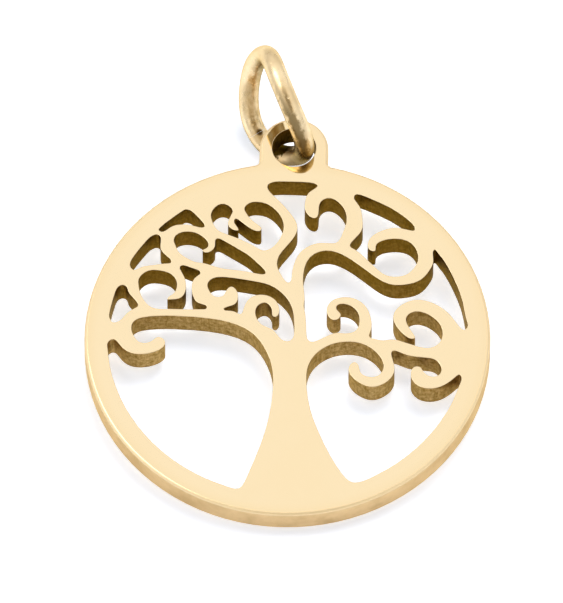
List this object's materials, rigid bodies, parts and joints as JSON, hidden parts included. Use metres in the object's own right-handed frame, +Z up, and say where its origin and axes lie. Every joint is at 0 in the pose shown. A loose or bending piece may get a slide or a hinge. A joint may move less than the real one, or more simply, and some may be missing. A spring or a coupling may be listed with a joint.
{
  "type": "tree of life pendant with its jump ring",
  "caption": "Round laser-cut tree of life pendant with a hanging ear and an open jump ring, lying on a surface.",
  "frame": {"origin": "bottom centre of the whole object as it lies: on the floor, under the middle of plate and ring", "axes": "+X to the right of the tree, +Y from the tree's foot towards the ear and ring, +Z up from the floor; the plate leans 3.2 degrees, foot down"},
  "size_m": [0.016, 0.0204, 0.005],
  "materials": {
    "plate_gold": "mirror polished faces with gold plating, fine vertical grain on the cut walls",
    "ring_gold": "polished wire with gold plating and small tool marks"
  },
  "bodies": {
    "root": {"tree_plate": "plate_gold", "jump_ring": "ring_gold"}
  },
  "joints": []
}
